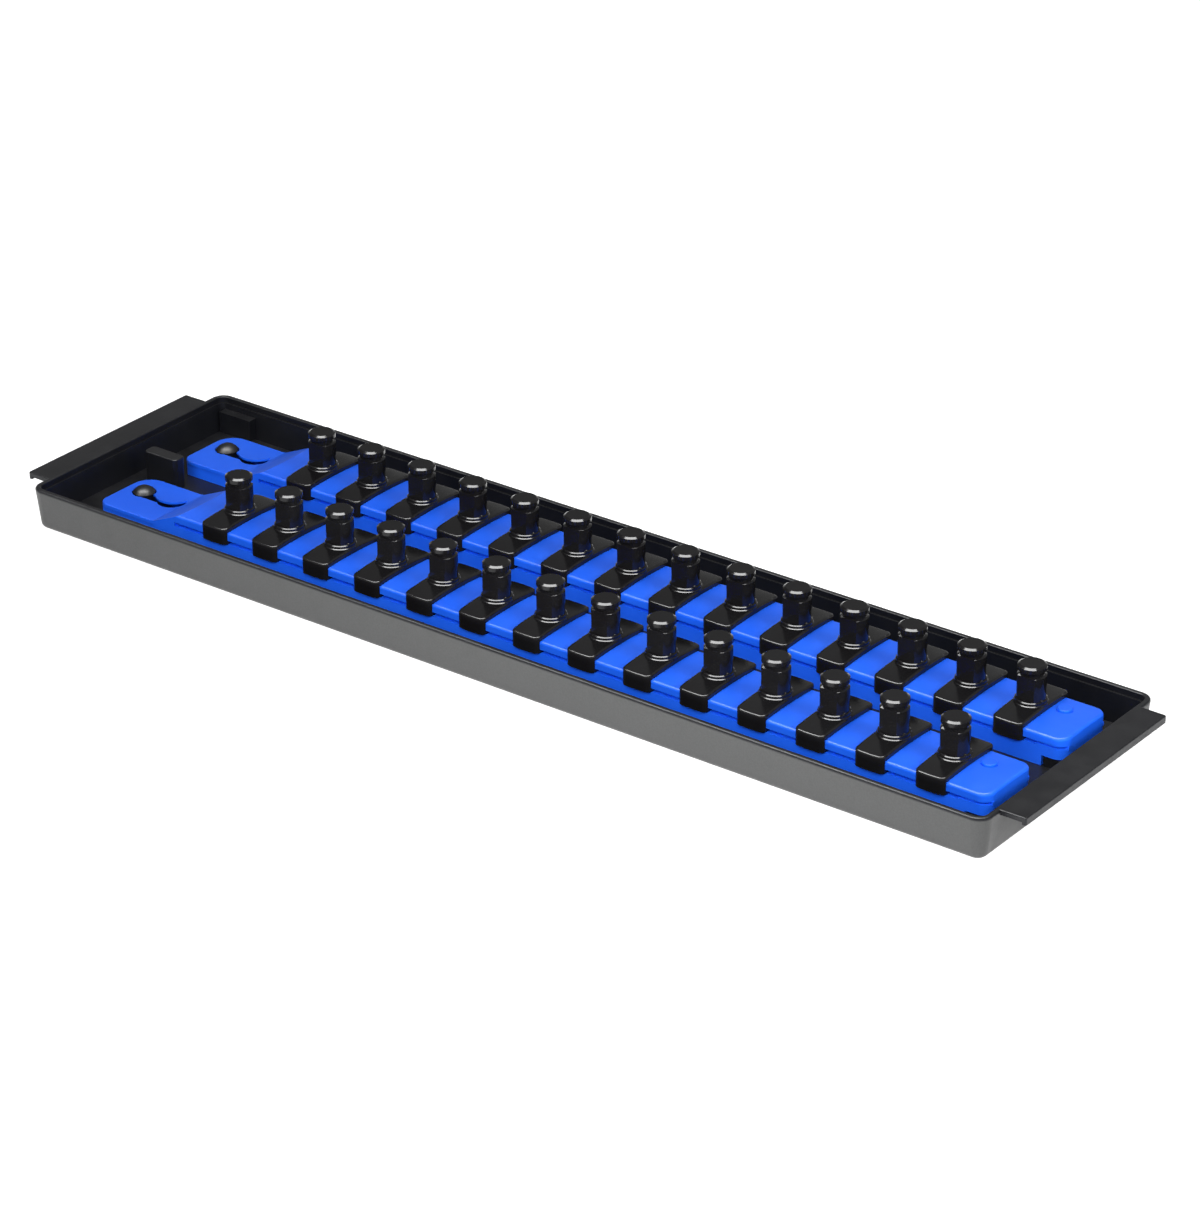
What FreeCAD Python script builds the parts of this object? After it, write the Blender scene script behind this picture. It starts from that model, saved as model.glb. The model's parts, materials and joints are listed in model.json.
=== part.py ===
"""Two-rail twist-lock socket organizer: a black tray, two blue rails, and 14 sliding post clips on each.

Millimetres. +X runs along the tray from the rails' keyhole heads to their hooked ends, +Y to the
back, +Z up. The origin is the middle of the tray's underside.
"""
import FreeCAD, Part

import math
import os

from FreeCAD import Vector

# Tray
TRAY_LENGTH = 461.8
TRAY_WIDTH = 118.8
TRAY_HEIGHT = 18.0
CORNER_RADIUS = 6.0
INNER_CORNER = 1.0
WALL_DRAFT = 2.0
WALL = 2.4
WALL_STEP = 0.6
WALL_STEP_DROP = 2.6
RIM_ROUND = 0.9
RIM_INNER_ROUND = 0.5
BOTTOM_ROUND = 2.4
FLOOR = 2.2
FOOT_HEIGHT = 1.4
FOOT_WIDTH = 6.0

# Hand flanges on the two short ends of the tray
HAND_REACH = 10.6
HAND_ROOT_WIDTH = 97.0
HAND_TIP_WIDTH = 96.8
HAND_THICKNESS = 2.0
HAND_LIP = 1.8
HAND_LIP_DROP = 1.0
HAND_CORNER = 0.8
HAND_EDGE_ROUND = 0.5

# Centre block and wall pads at the head end
BLOCK_START = 11.9
BLOCK_LENGTH = 17.5
BLOCK_WIDTH = 6.2
BLOCK_CORNER = 1.8
BLOCK_DROP = 1.0
BLOCK_ROUND = 0.5
PAD_LENGTH = 17.0
PAD_DEPTH = 3.2
PAD_INSET = 5.2
PAD_DROP = 5.0

# Rails
RAIL_SPACING = 51.6
RAIL_HEAD_GAP = 15.9
RAIL_END_GAP = 5.2
RAIL_WIDTH = 30.6
GROOVE_DEPTH = 3.1
GROOVE_HEIGHT = 1.7
WEB_WALL = 2.0
BASE_HEIGHT = 7.9
DECK_EDGE = 3.3
DECK_CROWN = 0.6
DECK_ROUND = 1.2
DECK_SKIN = 3.0
END_CORNER = 5.0
HEAD_LENGTH = 30.8
HEAD_BACK_CORNER = 8.5
HEAD_FRONT_CORNER = 5.0
HEAD_HEIGHT = 6.9
HEAD_LIP = 1.6
HEAD_LIP_STEP = 0.8
HEAD_ROUND = 0.4
HEAD_SKIN = 0.8
HEAD_WALL = 5.0
RAMP_LENGTH = 13.5
RAMP_BLEND = 5.0
RAMP_SOLID = 11.5
RIB_COUNT = 10
RAIL_RIB = 1.8

# Spring keyhole in each rail head, and the tray peg that it snaps over
KEYHOLE_SET_BACK = 9.1
KEYHOLE_OFFSET = 3.1
KEYHOLE_DIAMETER = 10.2
SLOT_OUTER_RADIUS = 6.2
SLOT_OUTER_X = 15.2
SLOT_OUTER_Y = 0.1
SLOT_INNER_RADIUS = 8.4
SLOT_INNER_X = 11.8
SLOT_INNER_Y = 6.2
SLOT_NECK_Y = -4.5
PEG_GAP = 0.35
PEG_NECK = 0.5
PEG_DOME = 2.5
PEG_PROUD = 0.2

# Stop bump, foot block and hook at the other end of each rail
BUMP_SET_BACK = 12.9
BUMP_OFFSET = 5.6
BUMP_RADIUS = 2.9
BUMP_HEIGHT = 0.7
BUMP_ROUND = 0.35
MOAT_WIDTH = 0.6
MOAT_DEPTH = 1.2
MOAT_TURN = 150.0
MOAT_ANGLE = -70.0
FOOT_BLOCK = 12.6
FOOT_BLOCK_SLIT = 1.0
NOTCH_LENGTH = 9.8
NOTCH_DEPTH = 3.6
NOTCH_HEIGHT = 4.3
LOCATOR_GAP_X = 1.0
LOCATOR_GAP = 0.3
TONGUE_REACH = 3.1
TONGUE_WIDTH = 14.0
TONGUE_THICKNESS = 2.1
CATCH_GAP = 0.7
CATCH_OVERLAP = 1.7
CATCH_THICKNESS = 2.4
CATCH_SIDE = 1.5

# Clips: a base that slides on the rail and a post that turns in it
CLIP_COUNT = 14
FIRST_CLIP_GAP = 20.2
LAST_CLIP_GAP = 11.5
CLIP_WIDTH = 13.3
CLIP_END_WALL = 1.7
SLIDE_GAP = 0.2
HOOK_GAP = 0.5
CLIP_EDGE_COVER = 1.9
CLIP_CROWN = 1.2
CLIP_CORNER = 2.4
CLIP_BOW = 0.4
CLIP_TOP_ROUND = 0.9
SEAT_BEVEL = 0.4
SEAT_STEP = 0.45

POST_DIAMETER = 11.2
POST_HEIGHT = 15.15
POST_FLATS = 8.4
BEVEL_SLOPE = 32.0
BEVEL_ROUND = 0.15
CAP_HEIGHT = 2.2
CAP_BEVEL = 0.95
NECK_HEIGHT = 1.8
NECK_DEPTH = 0.8
RING_STEP = 0.6
RING_HEIGHT = 1.2
RING_BEVEL = 0.45
NUB_DIAMETER = 1.5
NUB_ANGLE = -16.0
STEM_DIAMETER = 6.4
TURN_GAP = 0.1
RETAINER_STEP = 1.1
RETAINER_THICKNESS = 0.8
RETAINER_GAP = 0.2
LUG_REACH = 0.8
LUG_ANGLE = 24.0
POST_TURN = 90.0
POCKET_SPARE = 3.0

# Heights that follow from the sizes above
FLOOR_Z = FOOT_HEIGHT + FLOOR
BASE_TOP = FLOOR_Z + BASE_HEIGHT
DECK_UNDER = BASE_TOP + GROOVE_HEIGHT
DECK_EDGE_Z = DECK_UNDER + DECK_EDGE
DECK_TOP = DECK_EDGE_Z + DECK_CROWN
HEAD_TOP = FLOOR_Z + HEAD_HEIGHT
SADDLE_TOP = DECK_EDGE_Z + CLIP_EDGE_COVER + CLIP_CROWN
SEAT_TOP = SADDLE_TOP + SEAT_STEP
POST_TOP = SEAT_TOP + POST_HEIGHT

# Places along the rail that follow from the tray's inside length
FLOOR_INSET = WALL + WALL_STEP + WALL_DRAFT * (TRAY_HEIGHT - FLOOR_Z) / TRAY_HEIGHT
FLOOR_HALF = TRAY_LENGTH / 2 - FLOOR_INSET
RAIL_HEAD_X = -FLOOR_HALF + RAIL_HEAD_GAP
RAIL_END_X = FLOOR_HALF - RAIL_END_GAP
RAMP_FOOT_X = RAIL_HEAD_X + HEAD_LENGTH
RAMP_TOP_X = RAMP_FOOT_X + RAMP_LENGTH
GROOVE_START_X = RAMP_FOOT_X + RAMP_SOLID
KEYHOLE_X = RAIL_HEAD_X + KEYHOLE_SET_BACK
BUMP_X = RAIL_END_X - BUMP_SET_BACK
FOOT_BLOCK_X = RAIL_END_X - FOOT_BLOCK
NOTCH_X = RAIL_END_X - NOTCH_LENGTH
FIRST_CLIP_X = RAMP_TOP_X + FIRST_CLIP_GAP
LAST_CLIP_X = BUMP_X - LAST_CLIP_GAP
CLIP_PITCH = (LAST_CLIP_X - FIRST_CLIP_X) / (CLIP_COUNT - 1)

# Widths and diameters that follow
RAIL_WEB_WIDTH = RAIL_WIDTH - 2 * GROOVE_DEPTH
RAIL_HOLLOW_WIDTH = RAIL_WEB_WIDTH - 2 * WEB_WALL
SADDLE_HALF = RAIL_WIDTH / 2 + SLIDE_GAP + CLIP_END_WALL
RING_DIAMETER = POST_DIAMETER + 2 * RING_STEP
SEAT_DIAMETER = RING_DIAMETER + 2 * SEAT_BEVEL
RETAINER_DIAMETER = STEM_DIAMETER + 2 * RETAINER_STEP
EPS = 0.02
FAR = 60.0


def box(x0, x1, y0, y1, z0, z1):
    return Part.makeBox(x1 - x0, y1 - y0, z1 - z0, Vector(x0, y0, z0))


def cylinder(diameter, z0, z1, x=0.0, y=0.0):
    return Part.makeCylinder(diameter / 2, z1 - z0, Vector(x, y, z0))


def rounded_outline(length, width, radius, z):
    """Closed rounded rectangle about the Z axis, at one height."""
    hx = length / 2
    hy = width / 2
    r = radius
    k = r * (1 - math.sqrt(0.5))
    lines = [
        ((-hx + r, -hy), (hx - r, -hy), (hx - k, -hy + k)),
        ((hx, -hy + r), (hx, hy - r), (hx - k, hy - k)),
        ((hx - r, hy), (-hx + r, hy), (-hx + k, hy - k)),
        ((-hx, hy - r), (-hx, -hy + r), (-hx + k, -hy + k)),
    ]
    edges = []
    for i, (start, end, middle) in enumerate(lines):
        after = lines[(i + 1) % 4][0]
        a, b, m, c = (Vector(p[0], p[1], z) for p in (start, end, middle, after))
        edges.append(Part.LineSegment(a, b).toShape())
        edges.append(Part.Arc(b, m, c).toShape())
    return Part.Wire(edges)


def drafted_block(inset_low, z_low, inset_high, z_high):
    """Block between two outlines, each set in from the rim's outline by its own amount."""
    wires = []
    for inset, z in ((inset_low, z_low), (inset_high, z_high)):
        length = TRAY_LENGTH - 2 * inset
        width = TRAY_WIDTH - 2 * inset
        wires.append(rounded_outline(length, width, max(CORNER_RADIUS - inset, INNER_CORNER), z))
    return Part.makeLoft(wires, True, True)


def edges_at_height(shape, z):
    """Edges that lie wholly at one height."""
    found = []
    for edge in shape.Edges:
        bounds = edge.BoundBox
        if abs(bounds.ZMin - z) < 1e-3 and abs(bounds.ZMax - z) < 1e-3:
            found.append(edge)
    return found


def upright_edges(shape):
    """Straight edges that stand upright, such as a box's four corners."""
    found = []
    for edge in shape.Edges:
        bounds = edge.BoundBox
        if bounds.XLength < 1e-3 and bounds.YLength < 1e-3:
            found.append(edge)
    return found


def wall_inset(z):
    """How far the inner wall stands in from the rim's outline at height z."""
    return WALL + WALL_STEP + WALL_DRAFT * (TRAY_HEIGHT - z) / TRAY_HEIGHT


def tray_shell():
    shell = drafted_block(WALL_DRAFT, 0.0, 0.0, TRAY_HEIGHT)
    shell = shell.makeFillet(BOTTOM_ROUND, edges_at_height(shell, 0.0))
    shell = shell.makeFillet(RIM_ROUND, edges_at_height(shell, TRAY_HEIGHT))
    step_z = TRAY_HEIGHT - WALL_STEP_DROP
    shell = shell.cut(drafted_block(WALL, step_z, WALL, TRAY_HEIGHT + 1))
    x = TRAY_LENGTH / 2 - WALL + EPS
    y = TRAY_WIDTH / 2 - WALL + EPS
    inside = FreeCAD.BoundBox(-x, -y, 0, x, y, TRAY_HEIGHT + EPS)
    inner_rim = [e for e in edges_at_height(shell, TRAY_HEIGHT) if inside.isInside(e.BoundBox)]
    shell = shell.makeFillet(RIM_INNER_ROUND, inner_rim)
    shell = shell.cut(drafted_block(wall_inset(FLOOR_Z), FLOOR_Z, wall_inset(step_z), step_z + EPS))
    foot_inset = WALL_DRAFT + FOOT_WIDTH
    recess = drafted_block(foot_inset, -1.0, foot_inset, FOOT_HEIGHT)
    return shell.cut(recess)


def hand_flange(side):
    """Flange at one short end: a flat plate at rim height with a lip turned down at its edge."""
    root_x = side * (TRAY_LENGTH / 2 - WALL / 2)
    tip_x = side * (TRAY_LENGTH / 2 + HAND_REACH)
    root = HAND_ROOT_WIDTH / 2
    tip = HAND_TIP_WIDTH / 2
    low = TRAY_HEIGHT - HAND_THICKNESS - HAND_LIP_DROP
    corners = [(root_x, -root), (tip_x, -tip), (tip_x, tip), (root_x, root)]
    outline = Part.makePolygon([Vector(x, y, low) for x, y in corners + corners[:1]])
    plate = Part.Face(outline).extrude(Vector(0, 0, TRAY_HEIGHT - low))
    plate = plate.makeFillet(HAND_CORNER, [e for e in upright_edges(plate) if abs(e.BoundBox.XMin - tip_x) < 1e-3])
    outer_edges = [e for e in edges_at_height(plate, TRAY_HEIGHT) if abs(e.BoundBox.Center.x - root_x) > 1e-3]
    plate = plate.makeFillet(HAND_EDGE_ROUND, outer_edges)
    lip_x = tip_x - side * HAND_LIP
    x0, x1 = sorted((root_x - side, lip_x))
    return plate.cut(box(x0, x1, -FAR, FAR, low - 1, TRAY_HEIGHT - HAND_THICKNESS))


def centre_block():
    """Block that stands on the floor between the rails' heads, almost as high as the rim."""
    x0 = -TRAY_LENGTH / 2 + BLOCK_START
    half = BLOCK_WIDTH / 2
    top = TRAY_HEIGHT - BLOCK_DROP
    shape = box(x0, x0 + BLOCK_LENGTH, -half, half, FLOOR_Z - EPS, top)
    shape = shape.makeFillet(BLOCK_CORNER, upright_edges(shape))
    return shape.makeFillet(BLOCK_ROUND, edges_at_height(shape, top))


def wall_pad(side):
    """Pad on the long wall beside the head end's corner."""
    x0 = -TRAY_LENGTH / 2 + PAD_INSET
    inner = TRAY_WIDTH / 2 - wall_inset(FLOOR_Z)
    y0, y1 = sorted((side * (inner - PAD_DEPTH), side * (TRAY_WIDTH / 2 - WALL - WALL_STEP)))
    return box(x0, x0 + PAD_LENGTH, y0, y1, FLOOR_Z - EPS, TRAY_HEIGHT - PAD_DROP)


def peg(rail_y):
    """Round peg with a domed head, standing in the rail head's keyhole."""
    head = KEYHOLE_DIAMETER / 2 - PEG_GAP
    neck = head - PEG_NECK
    shoulder = HEAD_TOP + PEG_PROUD
    low = FLOOR_Z - EPS
    top = shoulder + PEG_DOME
    ball = (head * head + PEG_DOME * PEG_DOME) / (2 * PEG_DOME)
    half_turn = math.asin(head / ball) / 2
    dome_middle = Vector(ball * math.sin(half_turn), 0, top - ball * (1 - math.cos(half_turn)))
    edges = [
        Part.LineSegment(Vector(0, 0, low), Vector(neck, 0, low)).toShape(),
        Part.LineSegment(Vector(neck, 0, low), Vector(neck, 0, shoulder - PEG_NECK)).toShape(),
        Part.LineSegment(Vector(neck, 0, shoulder - PEG_NECK), Vector(head, 0, shoulder)).toShape(),
        Part.Arc(Vector(head, 0, shoulder), dome_middle, Vector(0, 0, top)).toShape(),
        Part.LineSegment(Vector(0, 0, top), Vector(0, 0, low)).toShape(),
    ]
    shape = Part.Face(Part.Wire(edges)).revolve(Vector(0, 0, 0), Vector(0, 0, 1), 360)
    shape.translate(Vector(KEYHOLE_X, rail_y + KEYHOLE_OFFSET, 0))
    return shape


def locators(rail_y):
    """Two blocks on the floor that stand in the notches at the rail's hooked end."""
    x0 = NOTCH_X + LOCATOR_GAP_X
    x1 = RAIL_END_X - LOCATOR_GAP_X
    outer = RAIL_WIDTH / 2
    inner = outer - NOTCH_DEPTH + LOCATOR_GAP
    top = FLOOR_Z + NOTCH_HEIGHT - LOCATOR_GAP
    blocks = []
    for side in (-1, 1):
        y0, y1 = sorted((rail_y + side * inner, rail_y + side * outer))
        blocks.append(box(x0, x1, y0, y1, FLOOR_Z - EPS, top))
    return blocks


def catch(rail_y):
    """Shelf on the end wall that holds the rail's tongue down."""
    x0 = RAIL_END_X + TONGUE_REACH - CATCH_OVERLAP
    x1 = TRAY_LENGTH / 2 - WALL
    half = TONGUE_WIDTH / 2 + CATCH_SIDE
    z0 = FLOOR_Z + TONGUE_THICKNESS + CATCH_GAP
    return box(x0, x1, rail_y - half, rail_y + half, z0, z0 + CATCH_THICKNESS)


def make_tray():
    tray = tray_shell()
    pieces = [hand_flange(-1), hand_flange(1), centre_block(), wall_pad(-1), wall_pad(1)]
    for rail_y in (-RAIL_SPACING / 2, RAIL_SPACING / 2):
        pieces.append(peg(rail_y))
        pieces.append(catch(rail_y))
        pieces.extend(locators(rail_y))
    return tray.fuse(pieces).removeSplitter()


def above_crown(x0, x1, half, z_edge, rise):
    """Everything above an arc that runs across the rail and rises in the middle."""
    left = Vector(x0, -half - 1, z_edge)
    right = Vector(x0, half + 1, z_edge)
    high = Vector(0, 0, rise + 5)
    arc_left = Vector(x0, -half, z_edge)
    arc_right = Vector(x0, half, z_edge)
    points = [arc_right, right, right.add(high), left.add(high), left, arc_left]
    edges = [Part.LineSegment(a, b).toShape() for a, b in zip(points, points[1:])]
    edges.append(Part.Arc(arc_left, Vector(x0, 0, z_edge + rise), arc_right).toShape())
    return Part.Face(Part.Wire(edges)).extrude(Vector(x1 - x0, 0, 0))


def crowned_block(x0, x1, half, z0, z_edge, rise, corner_radii, round_radius, bow=0.0):
    """Block with a crowned top. Its upright corners and its top edges are rounded, but not at a square end.

    Its front and back faces can bow outwards a little.
    """
    z1 = z_edge + rise + 1
    shape = box(x0, x1, -half, half, z0, z1)
    if bow:
        reach = (x1 - x0) / 2
        radius = (reach * reach + bow * bow) / (2 * bow)
        for side in (-1, 1):
            shape = shape.common(cylinder(2 * radius, z0, z1, (x0 + x1) / 2, side * (half - radius)))
    for x, radius in corner_radii:
        corners = [e for e in upright_edges(shape) if abs(e.BoundBox.XMin - x) < 1e-3]
        shape = shape.makeFillet(radius, corners)
    shape = shape.cut(above_crown(x0 - 1, x1 + 1, half, z_edge, rise))
    square_ends = {x0, x1} - {x for x, radius in corner_radii}
    top_edges = []
    for edge in shape.Edges:
        bounds = edge.BoundBox
        at_square_end = any(abs(bounds.XMin - x) < 1e-3 and abs(bounds.XMax - x) < 1e-3 for x in square_ends)
        if bounds.ZMin > z_edge - 1e-3 and not at_square_end:
            top_edges.append(edge)
    return shape.makeFillet(round_radius, top_edges)


def rail_plan(z0, z1):
    """Vertical block with the rail's outline in plan: round head corners, round end corners."""
    half = RAIL_WIDTH / 2
    corners = [
        (RAIL_HEAD_X, -half, HEAD_FRONT_CORNER),
        (RAIL_END_X, -half, END_CORNER),
        (RAIL_END_X, half, END_CORNER),
        (RAIL_HEAD_X, half, HEAD_BACK_CORNER),
    ]
    block = box(RAIL_HEAD_X, RAIL_END_X, -half, half, z0, z1)
    for x, y, radius in corners:
        for edge in block.Edges:
            point = edge.BoundBox.Center
            if abs(point.x - x) < 1e-3 and abs(point.y - y) < 1e-3:
                block = block.makeFillet(radius, [edge])
                break
    return block


def ramp_profile():
    """Side outline of the rail past its head, with a ramp that blends up out of the head."""
    low = HEAD_TOP
    high = DECK_TOP + 1
    rise = DECK_EDGE_Z - HEAD_TOP
    run = RAMP_TOP_X - RAMP_FOOT_X
    slope = math.atan2(rise, run)
    t = RAMP_BLEND * math.tan(slope / 2)
    foot_in = Vector(RAMP_FOOT_X - t, 0, low)
    foot_mid = Vector(foot_in.x + RAMP_BLEND * math.sin(slope / 2), 0, low + RAMP_BLEND * (1 - math.cos(slope / 2)))
    foot_out = Vector(RAMP_FOOT_X + t * math.cos(slope), 0, low + t * math.sin(slope))
    scale = (high - low) / rise
    top_x = RAMP_FOOT_X + run * scale
    points = [foot_out, Vector(top_x, 0, high), Vector(RAIL_END_X, 0, high), Vector(RAIL_END_X, 0, FLOOR_Z),
              Vector(foot_in.x, 0, FLOOR_Z), foot_in]
    edges = [Part.Arc(foot_in, foot_mid, foot_out).toShape()]
    edges += [Part.LineSegment(a, b).toShape() for a, b in zip(points, points[1:])]
    half = RAIL_WIDTH / 2 + 1
    face = Part.Face(Part.Wire(edges))
    face.translate(Vector(0, -half, 0))
    return face.extrude(Vector(0, 2 * half, 0))


def spring_keyhole():
    """Round hole for the peg, with a crescent slot beside it that lets the hole spring open."""
    z0 = FLOOR_Z
    z1 = HEAD_TOP + 1
    x = KEYHOLE_X
    y = KEYHOLE_OFFSET
    hole = cylinder(KEYHOLE_DIAMETER, z0, z1, x, y)
    outer = cylinder(2 * SLOT_OUTER_RADIUS, z0, z1, x + SLOT_OUTER_X, y + SLOT_OUTER_Y)
    neck = box(x, x + SLOT_OUTER_X, y + SLOT_NECK_Y, y + SLOT_OUTER_Y, z0, z1)
    inner = cylinder(2 * SLOT_INNER_RADIUS, z0 - 1, z1 + 1, x + SLOT_INNER_X, y + SLOT_INNER_Y)
    side = box(x - FAR, x, y + SLOT_NECK_Y - 1, y, z0 - 1, z1 + 1)
    return outer.fuse(neck).cut([inner, side]).fuse(hole).removeSplitter()


def rail_hollows():
    """Pockets in the rail's underside, with ribs left between them."""
    half = RAIL_HOLLOW_WIDTH / 2
    x0 = RAMP_TOP_X
    x1 = FOOT_BLOCK_X
    pitch = (x1 - x0) / RIB_COUNT
    pockets = [box(RAIL_HEAD_X + HEAD_WALL, RAMP_FOOT_X - RAIL_RIB, -half, half, FLOOR_Z - 1, HEAD_TOP - HEAD_SKIN)]
    for i in range(RIB_COUNT):
        start = x0 + i * pitch
        pockets.append(box(start, start + pitch - RAIL_RIB, -half, half, FLOOR_Z - 1, DECK_TOP - DECK_SKIN))
    return pockets


def stop_bump():
    """Round button on the deck that keeps the last clip on the rail."""
    top = DECK_TOP + BUMP_HEIGHT
    button = cylinder(2 * BUMP_RADIUS, DECK_EDGE_Z - 1, top, BUMP_X, BUMP_OFFSET)
    return button.makeFillet(BUMP_ROUND, edges_at_height(button, top))


def bump_moat():
    """Narrow groove in the deck round the front of the stop button."""
    radius = BUMP_RADIUS + MOAT_WIDTH
    low = DECK_EDGE_Z - MOAT_DEPTH
    groove = sector(radius, MOAT_ANGLE, MOAT_TURN, low, DECK_TOP + 1)
    groove = groove.cut(cylinder(2 * BUMP_RADIUS, low - 1, DECK_TOP + 2))
    groove.translate(Vector(BUMP_X, BUMP_OFFSET, 0))
    return groove


def hook_tongue():
    """Tongue at the hooked end; its round nose is what the rail swings about when its head is lifted."""
    radius = TONGUE_THICKNESS / 2
    nose_x = RAIL_END_X + TONGUE_REACH - radius
    side = -TONGUE_WIDTH / 2
    nose = Part.makeCylinder(radius, TONGUE_WIDTH, Vector(nose_x, side, FLOOR_Z + radius), Vector(0, 1, 0))
    plate = box(RAIL_END_X - END_CORNER, nose_x, side, -side, FLOOR_Z, FLOOR_Z + TONGUE_THICKNESS)
    return plate.fuse(nose)


def make_rail():
    """Rail about its own centre line: stepped base, web, crowned deck, keyhole head and hooked end."""
    half = RAIL_WIDTH / 2
    web = RAIL_WEB_WIDTH / 2
    lip_z = HEAD_TOP - HEAD_LIP
    skirt = rail_plan(FLOOR_Z, lip_z)
    skirt = skirt.common(box(RAIL_HEAD_X + HEAD_LIP_STEP, RAMP_FOOT_X, -half + HEAD_LIP_STEP, half - HEAD_LIP_STEP,
                             FLOOR_Z, lip_z))
    head_end_x = RAMP_FOOT_X + 1
    head = rail_plan(lip_z, HEAD_TOP).common(box(RAIL_HEAD_X - 1, head_end_x, -FAR, FAR, 0, FAR))
    head_edges = [e for e in edges_at_height(head, HEAD_TOP) if e.BoundBox.XMin < head_end_x - 1e-3]
    head = head.makeFillet(HEAD_ROUND, head_edges)
    deck = crowned_block(RAMP_FOOT_X, RAIL_END_X, half, DECK_UNDER, DECK_EDGE_Z, DECK_CROWN,
                         [(RAIL_END_X, END_CORNER)], DECK_ROUND)
    base = rail_plan(FLOOR_Z, BASE_TOP).common(box(RAMP_FOOT_X, RAIL_END_X, -half, half, FLOOR_Z, BASE_TOP))
    ramp_block = box(RAMP_FOOT_X - RAMP_BLEND, GROOVE_START_X, -half, half, lip_z, DECK_UNDER + EPS)
    web_block = box(RAMP_FOOT_X, RAIL_END_X, -web, web, BASE_TOP - EPS, DECK_UNDER + EPS)
    foot = box(FOOT_BLOCK_X, RAIL_END_X, -half, half, BASE_TOP - EPS, DECK_UNDER - FOOT_BLOCK_SLIT)
    foot = foot.common(rail_plan(0, FAR))
    upper = deck.fuse([base, ramp_block, web_block, foot]).common(ramp_profile())
    rail = upper.fuse([skirt, head, stop_bump(), hook_tongue()])
    cuts = rail_hollows() + [spring_keyhole(), bump_moat()]
    for side in (-1, 1):
        y0, y1 = sorted((side * (half - NOTCH_DEPTH), side * (half + 1)))
        cuts.append(box(NOTCH_X, RAIL_END_X + 1, y0, y1, FLOOR_Z - 1, FLOOR_Z + NOTCH_HEIGHT))
    return rail.cut(cuts).removeSplitter()


def rail_channel():
    """Space that the clip base leaves for the rail: the deck above, and the web between the two hooks."""
    inner = RAIL_WIDTH / 2 + SLIDE_GAP
    tip = RAIL_WEB_WIDTH / 2 + HOOK_GAP
    low = BASE_TOP - 1
    hook = DECK_UNDER - SLIDE_GAP
    edge_z = DECK_EDGE_Z + SLIDE_GAP
    x0 = -CLIP_WIDTH
    chain = [(-inner, edge_z), (-inner, hook), (-tip, hook), (-tip, low), (tip, low), (tip, hook),
             (inner, hook), (inner, edge_z)]
    points = [Vector(x0, y, z) for y, z in chain]
    edges = [Part.LineSegment(a, b).toShape() for a, b in zip(points, points[1:])]
    crown = Vector(x0, 0, DECK_TOP + SLIDE_GAP)
    edges.append(Part.Arc(points[-1], crown, points[0]).toShape())
    return Part.Face(Part.Wire(edges)).extrude(Vector(2 * CLIP_WIDTH, 0, 0))


def sector(radius, centre_angle, sweep, z0, z1):
    """Pie slice about the Z axis."""
    piece = Part.makeCylinder(radius, z1 - z0, Vector(0, 0, z0), Vector(0, 0, 1), sweep)
    piece.rotate(Vector(0, 0, 0), Vector(0, 0, 1), centre_angle - sweep / 2)
    return piece


def retainer_levels():
    """Low and high faces of the post's retainer disc, which lies between the deck and the saddle."""
    low = DECK_TOP + SLIDE_GAP
    return low, low + RETAINER_THICKNESS


def bevelled_disc(diameter, z0, z1, bevel):
    """Upright round disc with a shallow bevel round its top, softened where it meets the top."""
    drop = bevel * math.tan(math.radians(BEVEL_SLOPE))
    top = Part.makeCone(diameter / 2, diameter / 2 - bevel, drop, Vector(0, 0, z1 - drop))
    top = top.makeFillet(BEVEL_ROUND, edges_at_height(top, z1))
    return cylinder(diameter, z0, z1 - drop).fuse(top).removeSplitter()


def make_clip_base():
    """Clip base about its post's axis."""
    side = CLIP_WIDTH / 2
    base = crowned_block(-side, side, SADDLE_HALF, BASE_TOP + SLIDE_GAP, SADDLE_TOP - CLIP_CROWN, CLIP_CROWN,
                         [(-side, CLIP_CORNER), (side, CLIP_CORNER)], CLIP_TOP_ROUND, CLIP_BOW)
    base = base.cut(rail_channel())
    seat = bevelled_disc(SEAT_DIAMETER, SADDLE_TOP - CLIP_CROWN, SEAT_TOP, SEAT_BEVEL)
    retainer_top = retainer_levels()[1]
    pocket_top = retainer_top + RETAINER_GAP
    low = DECK_EDGE_Z - 1
    bore = cylinder(STEM_DIAMETER + 2 * TURN_GAP, low, SEAT_TOP + 1)
    counterbore = cylinder(RETAINER_DIAMETER + 2 * RETAINER_GAP, low, pocket_top)
    lug_radius = RETAINER_DIAMETER / 2 + LUG_REACH + RETAINER_GAP
    pocket = sector(lug_radius, -90, POST_TURN + LUG_ANGLE + 2 * POCKET_SPARE, low, pocket_top)
    return base.fuse(seat).cut([bore, counterbore, pocket]).removeSplitter()


def neck_cuts(z0, z1):
    """What the neck under the cap takes from the post, down to a sloping ledge below it."""
    out = POST_DIAMETER / 2 + 1
    drop = (1 + NECK_DEPTH) * math.tan(math.radians(BEVEL_SLOPE))
    core = POST_DIAMETER / 2 - NECK_DEPTH
    ledge = Part.makeCone(out, core, drop, Vector(0, 0, z0 - drop))
    cuts = [cylinder(2 * out, z0 - drop, z1).cut([ledge, cylinder(2 * core, z0 - drop, z1)])]
    for side in (-1, 1):
        flat = side * POST_FLATS / 2
        inner = flat - side * NECK_DEPTH
        outer = flat + side
        points = [Vector(-out, y, z) for y, z in ((inner, z1), (inner, z0), (outer, z0 - drop), (outer, z1))]
        cuts.append(Part.Face(Part.makePolygon(points + points[:1])).extrude(Vector(2 * out, 0, 0)))
    return cuts


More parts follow.
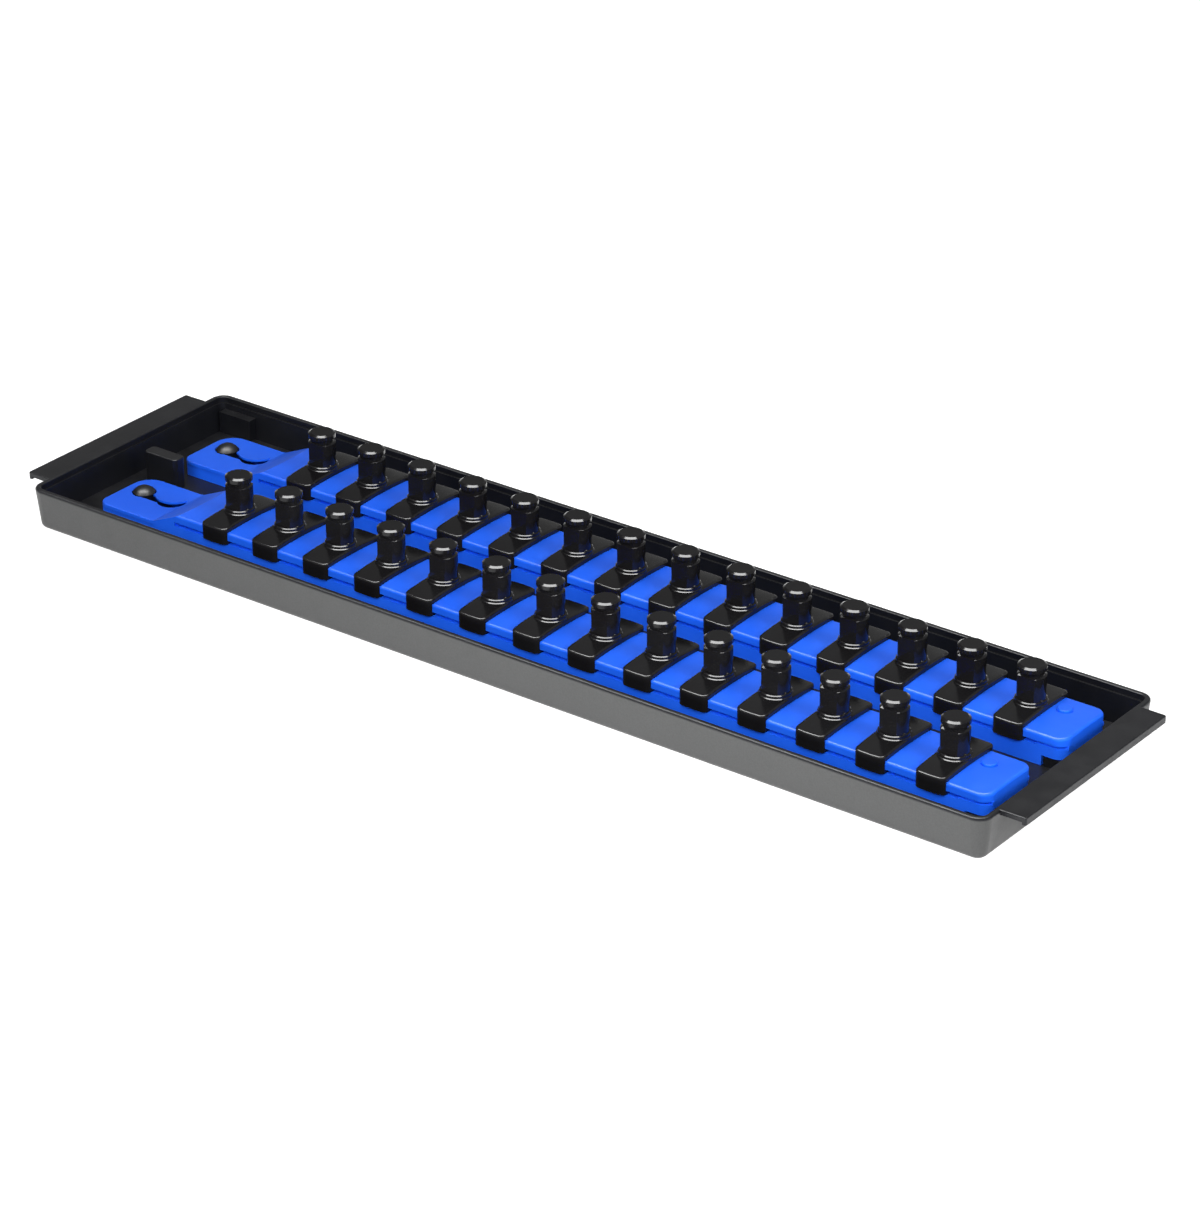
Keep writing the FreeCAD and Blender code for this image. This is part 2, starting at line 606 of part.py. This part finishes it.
def make_post():
    """Post about its own axis: capped head with two flats, foot ring, stem and retainer disc."""
    ring_z = SEAT_TOP
    body_z = ring_z + RING_HEIGHT
    cap_z = POST_TOP - CAP_HEIGHT
    half = POST_DIAMETER / 2
    body = bevelled_disc(POST_DIAMETER, ring_z, POST_TOP, CAP_BEVEL)
    cuts = neck_cuts(cap_z - NECK_HEIGHT, cap_z)
    for side in (-1, 1):
        y0, y1 = sorted((side * POST_FLATS / 2, side * (half + 1)))
        cuts.append(box(-half - 1, half + 1, y0, y1, body_z, cap_z))
    body = body.cut(cuts)
    ring = bevelled_disc(RING_DIAMETER, ring_z, body_z, RING_BEVEL)
    nub_turn = math.radians(NUB_ANGLE)
    nub = Part.makeSphere(NUB_DIAMETER / 2, Vector(half * math.cos(nub_turn), half * math.sin(nub_turn), body_z))
    low, high = retainer_levels()
    stem = cylinder(STEM_DIAMETER, low, ring_z + EPS)
    retainer = cylinder(RETAINER_DIAMETER, low, high)
    lug = sector(RETAINER_DIAMETER / 2 + LUG_REACH, -90 - POST_TURN / 2, LUG_ANGLE, low, high)
    return body.fuse([ring, nub, stem, retainer, lug]).removeSplitter()


def save(shape, name):
    assert shape.isValid() and len(shape.Solids) == 1, name
    shape.exportStep("parts/" + name + ".step")


def main():
    os.makedirs("parts", exist_ok=True)
    save(make_tray(), "tray")
    rail = make_rail()
    clip_base = make_clip_base()
    post = make_post()
    for row, rail_y in (("front", -RAIL_SPACING / 2), ("rear", RAIL_SPACING / 2)):
        save(rail.translated(Vector(0, rail_y, 0)), "rail_" + row)
        for i in range(CLIP_COUNT):
            place = Vector(FIRST_CLIP_X + i * CLIP_PITCH, rail_y, 0)
            number = "%02d" % (i + 1)
            save(clip_base.translated(place), "clip_base_" + row + "_" + number)
            save(post.translated(place), "twist_post_" + row + "_" + number)


main()
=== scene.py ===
"""Looks of the two-rail twist-lock socket organizer: moulded plastics, studio light and camera.

Metres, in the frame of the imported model. Every node is shown as it is and gets its material here.
"""

import json
import math

import bpy
from mathutils import Matrix, Quaternion, Vector


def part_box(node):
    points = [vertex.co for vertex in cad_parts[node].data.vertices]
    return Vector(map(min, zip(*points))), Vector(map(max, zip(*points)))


# Camera: where it looks from, as the photograph was taken
CAMERA_AZIMUTH = 37.108
CAMERA_ELEVATION = 26.896
CAMERA_ROLL = -0.147
CAMERA_TARGET = (0.002744, 0.017976, 0.0)
CAMERA_DISTANCE = 1.762439
CAMERA_LENS = 131.29
CAMERA_SENSOR = 36.0
CAMERA_NEAR = 0.05
CAMERA_FAR = 50.0

# The walls' outer faces get a painted sheen: they are painted grey, standing in for the white floor that the
# black walls mirror.
# They lie this far inside the tray's overall box, behind the ends of its flanges and behind its long sides.
# The band along the rim and the flanges' drooped lips stay black.
WALL_BEHIND_FLANGE = 0.0147
WALL_BEHIND_SIDE = 0.0035
RIM_BAND = 0.0016
LIP_DEPTH = 0.0035

# A face takes the painted sheen as the outward part of its normal goes from the first of these to the second
OUTWARD_FROM = 0.25
OUTWARD_FULL = 0.6

# Floor, which is lifted to white where it is seen
FLOOR_SIZE = 12.0
FLOOR_GREY = 0.62
FLOOR_WHITE = 0.80

# Surroundings: the light that they give, and what glossy faces mirror, by the direction they look in
AMBIENT = 0.30
WHITE_BELOW = 0.10
WHITE_GONE_ABOVE = 0.30
LEFT_GREY = 0.16
LEFT_GREY_TO = -0.75
RIGHT_GREY = 0.40
RIGHT_GREY_FROM = -0.25

# Colours of the plastics, linear
TRAY_BLACK = (0.0060, 0.0064, 0.0085)
# The tray's grey is a painted sheen on its walls' outer faces, which are black plastic that mirrors the white
# floor
TRAY_SHEEN_GREY = (0.060, 0.061, 0.061)
RAIL_BLUE = (0.016, 0.145, 1.000)
RAIL_BLUE_DEEP = (0.010, 0.125, 0.940)
CLIP_BLACK = (0.0070, 0.0064, 0.0070)
POST_BLACK = (0.0090, 0.0090, 0.0098)
TRAY_BLACK_SHADE = 0.8
TRAY_SHEEN_SHADE = 0.85

# Noise in the small mouldings, in cycles per metre: drift of the colour, specks in it, drift of the gloss,
# and the fine and broad parts of the grain
FLOW_SCALE = 45.0
SPECK_SCALE = 1800.0
SPECK_SHARE = 0.25
GLOSS_SCALE = 120.0
FINE_GRAIN_SCALE = 2600.0
BROAD_GRAIN_SCALE = 380.0
BROAD_GRAIN_SHARE = 0.6

# The same in the tray, which is a coarser moulding
TRAY_FLOW_SCALE = 40.0
TRAY_SPECK_SCALE = 1500.0
TRAY_GLOSS_SCALE = 110.0
TRAY_FINE_GRAIN_SCALE = 2200.0
TRAY_BROAD_GRAIN_SCALE = 320.0
TRAY_BROAD_GRAIN_SHARE = 0.5

# Sockets of the Mix node that carry its colours
MIX_SHARE = 0
MIX_FIRST = 6
MIX_SECOND = 7
MIX_RESULT = 2


class Graph:
    """Small helper that adds nodes to a node tree and joins them."""

    def __init__(self, tree):
        self.tree = tree
        self.tree.nodes.clear()

    def node(self, kind, **values):
        made = self.tree.nodes.new("ShaderNode" + kind)
        for key, value in values.items():
            setattr(made, key, value)
        return made

    def link(self, source, target):
        self.tree.links.new(source, target)

    def set_or_link(self, socket, value):
        if isinstance(value, bpy.types.NodeSocket):
            self.link(value, socket)
        else:
            socket.default_value = value

    def put(self, node, **inputs):
        """Sets or links inputs by name; underscores stand for spaces."""
        for key, value in inputs.items():
            self.set_or_link(node.inputs[key.replace("_", " ")], value)
        return node

    def math(self, operation, a, b=0.0, clamp=False):
        made = self.node("Math", operation=operation, use_clamp=clamp)
        self.set_or_link(made.inputs[0], a)
        self.set_or_link(made.inputs[1], b)
        return made.outputs[0]

    def axes(self, vector):
        """The X, Y and Z of a vector, as sockets by name."""
        made = self.node("SeparateXYZ")
        self.link(vector, made.inputs[0])
        return made.outputs

    def noise(self, place, scale, detail=2.0, rough=0.5):
        made = self.node("TexNoise")
        self.put(made, Vector=place, Scale=scale, Detail=detail, Roughness=rough)
        return made.outputs["Fac"]

    def spread(self, value, low, high, to_low, to_high):
        """Maps low..high onto to_low..to_high, clamped and eased."""
        made = self.node("MapRange", interpolation_type="SMOOTHSTEP")
        self.put(made, Value=value, From_Min=low, From_Max=high, To_Min=to_low, To_Max=to_high)
        return made.outputs["Result"]

    def mix(self, share, first, second):
        """Mixes two colours, each a socket or three numbers."""
        made = self.node("Mix", data_type="RGBA")
        self.set_or_link(made.inputs[MIX_SHARE], share)
        for index, colour in ((MIX_FIRST, first), (MIX_SECOND, second)):
            is_socket = isinstance(colour, bpy.types.NodeSocket)
            self.set_or_link(made.inputs[index], colour if is_socket else (*colour, 1.0))
        return made.outputs[MIX_RESULT]


def new_material(name):
    material = bpy.data.materials.new(name)
    material.use_nodes = True
    return material, Graph(material.node_tree)


def place_of(graph):
    return graph.node("TexCoord").outputs["Object"]


def shaded(colour, share):
    return tuple(share * part for part in colour)


def drifting_roughness(graph, place, scale, roughness):
    """Roughness that drifts between its lowest and its highest value."""
    lowest, highest = roughness
    return graph.spread(graph.noise(place, scale, 4.0, 0.6), 0.3, 0.7, lowest, highest)


def grain_height(graph, place, fine_scale, broad_scale, broad_share):
    """Height of a moulded grain: fine noise on broad noise."""
    broad = graph.math("MULTIPLY", graph.noise(place, broad_scale), broad_share)
    return graph.math("ADD", graph.noise(place, fine_scale), broad)


def finish_plastic(graph, colour, roughness, height, grain, specular):
    """Principled shader with a moulded grain of the given depth, joined to the output."""
    bump = graph.node("Bump")
    graph.put(bump, Height=height, Distance=grain, Strength=1.0)
    shader = graph.node("BsdfPrincipled")
    graph.put(shader, Base_Color=colour, Roughness=roughness, Normal=bump.outputs["Normal"])
    shader.inputs["Specular IOR Level"].default_value = specular
    output = graph.node("OutputMaterial")
    graph.link(shader.outputs["BSDF"], output.inputs["Surface"])


def moulded_plastic(name, colour, second, specular, roughness, grain):
    """Plastic of the small mouldings: drift and specks towards a second colour, uneven gloss, and a grain."""
    material, graph = new_material(name)
    place = place_of(graph)
    flow = graph.noise(place, FLOW_SCALE, 3.0, 0.55)
    specks = graph.math("MULTIPLY", graph.noise(place, SPECK_SCALE, 2.0, 0.6), SPECK_SHARE)
    share = graph.spread(graph.math("ADD", flow, specks), 0.40, 0.85, 0.0, 1.0)
    tint = graph.mix(share, colour, second)
    gloss = drifting_roughness(graph, place, GLOSS_SCALE, roughness)
    height = grain_height(graph, place, FINE_GRAIN_SCALE, BROAD_GRAIN_SCALE, BROAD_GRAIN_SHARE)
    finish_plastic(graph, tint, gloss, height, grain, specular)
    return material


def tray_plastic(name, specular, roughness, grain):
    """Black plastic of the tray, with a painted sheen: grey painted on the walls' outer faces, where the real
    walls mirror the white floor.
    """
    material, graph = new_material(name)
    place = place_of(graph)
    flow = graph.spread(graph.noise(place, TRAY_FLOW_SCALE, 3.0, 0.55), 0.35, 0.7, 0.0, 1.0)
    specks = graph.spread(graph.noise(place, TRAY_SPECK_SCALE, 2.0, 0.6), 0.3, 0.7, 0.0, 1.0)
    inside = graph.mix(flow, TRAY_BLACK, shaded(TRAY_BLACK, TRAY_BLACK_SHADE))
    # Painted sheen: the outer walls are painted grey where the real black walls mirror the white floor
    sheen_colour = graph.mix(specks, TRAY_SHEEN_GREY, shaded(TRAY_SHEEN_GREY, TRAY_SHEEN_SHADE))
    colour = graph.mix(painted_sheen_mask(graph, place), inside, sheen_colour)
    gloss = drifting_roughness(graph, place, TRAY_GLOSS_SCALE, roughness)
    height = grain_height(graph, place, TRAY_FINE_GRAIN_SCALE, TRAY_BROAD_GRAIN_SCALE, TRAY_BROAD_GRAIN_SHARE)
    finish_plastic(graph, colour, gloss, height, grain, specular)
    return material


def painted_sheen_mask(graph, place):
    """Where the painted sheen goes: 1 on the walls' outer faces below the rim, where the face looks away from
    the tray's middle.
    """
    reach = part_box("tray")[1]
    point = graph.axes(place)
    normal = graph.axes(graph.node("NewGeometry").outputs["True Normal"])
    outward = []
    for axis, wall in (("X", reach.x - WALL_BEHIND_FLANGE), ("Y", reach.y - WALL_BEHIND_SIDE)):
        side = graph.math("SIGN", point[axis])
        facing = graph.math("MULTIPLY", normal[axis], side)
        near = graph.math("GREATER_THAN", graph.math("ABSOLUTE", point[axis]), wall)
        outward.append(graph.math("MULTIPLY", facing, near))
    most = graph.math("MAXIMUM", outward[0], outward[1])
    facing = graph.spread(most, OUTWARD_FROM, OUTWARD_FULL, 0.0, 1.0)
    below = graph.spread(point["Z"], reach.z - RIM_BAND, reach.z - RIM_BAND / 2, 1.0, 0.0)
    on_wall = graph.math("LESS_THAN", graph.math("ABSOLUTE", point["X"]), reach.x - LIP_DEPTH)
    return graph.math("MULTIPLY", graph.math("MULTIPLY", facing, below), on_wall)


def dress(frame):
    """Gives each node its plastic. The two small blacks drift towards each other."""
    materials = {
        "tray_black": tray_plastic("tray_plastic", specular=0.40, roughness=(0.34, 0.44), grain=0.00002),
        "rail_blue": moulded_plastic("blue_plastic", RAIL_BLUE, RAIL_BLUE_DEEP,
                                     specular=0.30, roughness=(0.34, 0.42), grain=0.000006),
        "clip_black": moulded_plastic("clip_plastic", CLIP_BLACK, POST_BLACK,
                                      specular=0.40, roughness=(0.14, 0.20), grain=0.000003),
        "post_black": moulded_plastic("post_plastic", POST_BLACK, CLIP_BLACK,
                                      specular=0.32, roughness=(0.10, 0.15), grain=0.000002),
    }
    slots = {row["node"]: row["material_slot"] for row in frame["record"]["subparts"]}
    for name, node in frame["nodes"].items():
        node.data.materials.clear()
        node.data.materials.append(materials[slots[name]])


def seen_rays(graph):
    """1 for camera, glossy and transmission rays, and 0 for the rest."""
    path = graph.node("LightPath")
    total = graph.math("ADD", path.outputs["Is Camera Ray"], path.outputs["Is Glossy Ray"])
    return graph.math("ADD", total, path.outputs["Is Transmission Ray"], clamp=True)


def make_floor():
    """Pale floor: diffuse, so that it keeps the shadow, and lifted to white where it is seen."""
    mesh = bpy.data.meshes.new("floor")
    half = FLOOR_SIZE / 2
    corners = [(-half, -half, 0), (half, -half, 0), (half, half, 0), (-half, half, 0)]
    mesh.from_pydata(corners, [], [(0, 1, 2, 3)])
    floor = bpy.data.objects.new("floor", mesh)
    bpy.context.scene.collection.objects.link(floor)
    material, graph = new_material("pale_floor")
    diffuse = graph.node("BsdfDiffuse")
    diffuse.inputs["Color"].default_value = (FLOOR_GREY, FLOOR_GREY, FLOOR_GREY, 1)
    glow = graph.node("Emission")
    graph.put(glow, Strength=graph.math("MULTIPLY", seen_rays(graph), FLOOR_WHITE))
    both = graph.node("AddShader")
    graph.link(diffuse.outputs[0], both.inputs[0])
    graph.link(glow.outputs[0], both.inputs[1])
    output = graph.node("OutputMaterial")
    graph.link(both.outputs[0], output.inputs["Surface"])
    mesh.materials.append(material)


def make_world():
    """White low down and grey above, darker on the left, where it is seen or mirrored; else an even light."""
    world = bpy.data.worlds.new("studio")
    world.use_nodes = True
    graph = Graph(world.node_tree)
    direction = graph.axes(graph.node("TexCoord").outputs["Generated"])
    grey = graph.spread(direction["X"], LEFT_GREY_TO, RIGHT_GREY_FROM, LEFT_GREY, RIGHT_GREY)
    white = graph.spread(direction["Z"], WHITE_BELOW, WHITE_GONE_ABOVE, 1.0, 0.0)
    backdrop = graph.math("MAXIMUM", white, grey)
    seen = seen_rays(graph)
    shown = graph.math("MULTIPLY", seen, backdrop)
    hidden = graph.math("MULTIPLY", graph.math("SUBTRACT", 1.0, seen), AMBIENT)
    background = graph.node("Background")
    graph.put(background, Strength=graph.math("ADD", shown, hidden))
    output = graph.node("OutputWorld")
    graph.link(background.outputs[0], output.inputs["Surface"])
    bpy.context.scene.world = world


def view_axes():
    """Level directions across the camera's view, to the right, and back towards the camera."""
    azimuth = math.radians(CAMERA_AZIMUTH)
    across = Vector((math.cos(azimuth), math.sin(azimuth), 0))
    towards = Vector((math.sin(azimuth), -math.cos(azimuth), 0))
    return across, towards


def make_lamp(name, place, size, brightness, mirrored=False, lights=True):
    """Rectangular lamp that points at the origin. Its place is given across, towards the camera and up.

    Its brightness is that of its face. A mirrored lamp shows in glossy surfaces, and one that lights adds to
    the colour of matt ones.
    """
    across, towards = view_axes()
    side, near, up = place
    width, height = size
    location = side * across + near * towards + Vector((0, 0, up))
    data = bpy.data.lights.new(name, "AREA")
    data.shape = "RECTANGLE"
    data.size = width
    data.size_y = height
    data.energy = brightness * math.pi * width * height
    lamp = bpy.data.objects.new(name, data)
    bpy.context.scene.collection.objects.link(lamp)
    back = location.normalized()
    right = (across - across.dot(back) * back).normalized()
    lamp.matrix_world = Matrix((right, back.cross(right), back)).transposed().to_4x4()
    lamp.location = location
    lamp.visible_camera = False
    lamp.visible_glossy = mirrored
    lamp.visible_diffuse = lights


def make_lights():
    """A softbox overhead that only shows as edge lights, and three soft lamps for the colours."""
    make_lamp("softbox", place=(-0.24, 0.02, 1.25), size=(1.55, 0.48), brightness=20.0,
              mirrored=True, lights=False)
    make_lamp("fill", place=(-0.35, 1.0, 0.95), size=(1.2, 0.6), brightness=8.5)
    make_lamp("low_fill", place=(-0.13, 0.404, 0.04), size=(0.30, 0.06), brightness=22.0)
    make_lamp("side", place=(0.95, 0.72, 0.70), size=(0.5, 0.5), brightness=12.0)


def make_camera():
    data = bpy.data.cameras.new("camera")
    data.sensor_width = CAMERA_SENSOR
    data.lens = CAMERA_LENS
    data.clip_start = CAMERA_NEAR
    data.clip_end = CAMERA_FAR
    camera = bpy.data.objects.new("camera", data)
    bpy.context.scene.collection.objects.link(camera)
    elevation = math.radians(CAMERA_ELEVATION)
    towards = view_axes()[1]
    back = math.cos(elevation) * towards + Vector((0, 0, math.sin(elevation)))
    camera.location = Vector(CAMERA_TARGET) + back * CAMERA_DISTANCE
    camera.rotation_mode = "QUATERNION"
    level = (-back).to_track_quat("-Z", "Y")
    camera.rotation_quaternion = level @ Quaternion((0, 0, 1), math.radians(CAMERA_ROLL))
    bpy.context.scene.camera = camera


with open("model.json") as file:
    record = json.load(file)
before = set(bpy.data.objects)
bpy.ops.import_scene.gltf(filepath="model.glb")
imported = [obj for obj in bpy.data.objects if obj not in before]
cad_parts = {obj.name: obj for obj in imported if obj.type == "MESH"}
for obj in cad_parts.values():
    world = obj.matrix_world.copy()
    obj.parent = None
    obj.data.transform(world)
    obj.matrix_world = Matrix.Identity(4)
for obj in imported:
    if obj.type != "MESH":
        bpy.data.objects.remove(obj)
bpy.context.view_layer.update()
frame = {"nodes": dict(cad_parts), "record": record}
bpy.context.scene.view_settings.view_transform = "Standard"
dress(frame)
make_floor()
make_world()
make_lights()
make_camera()
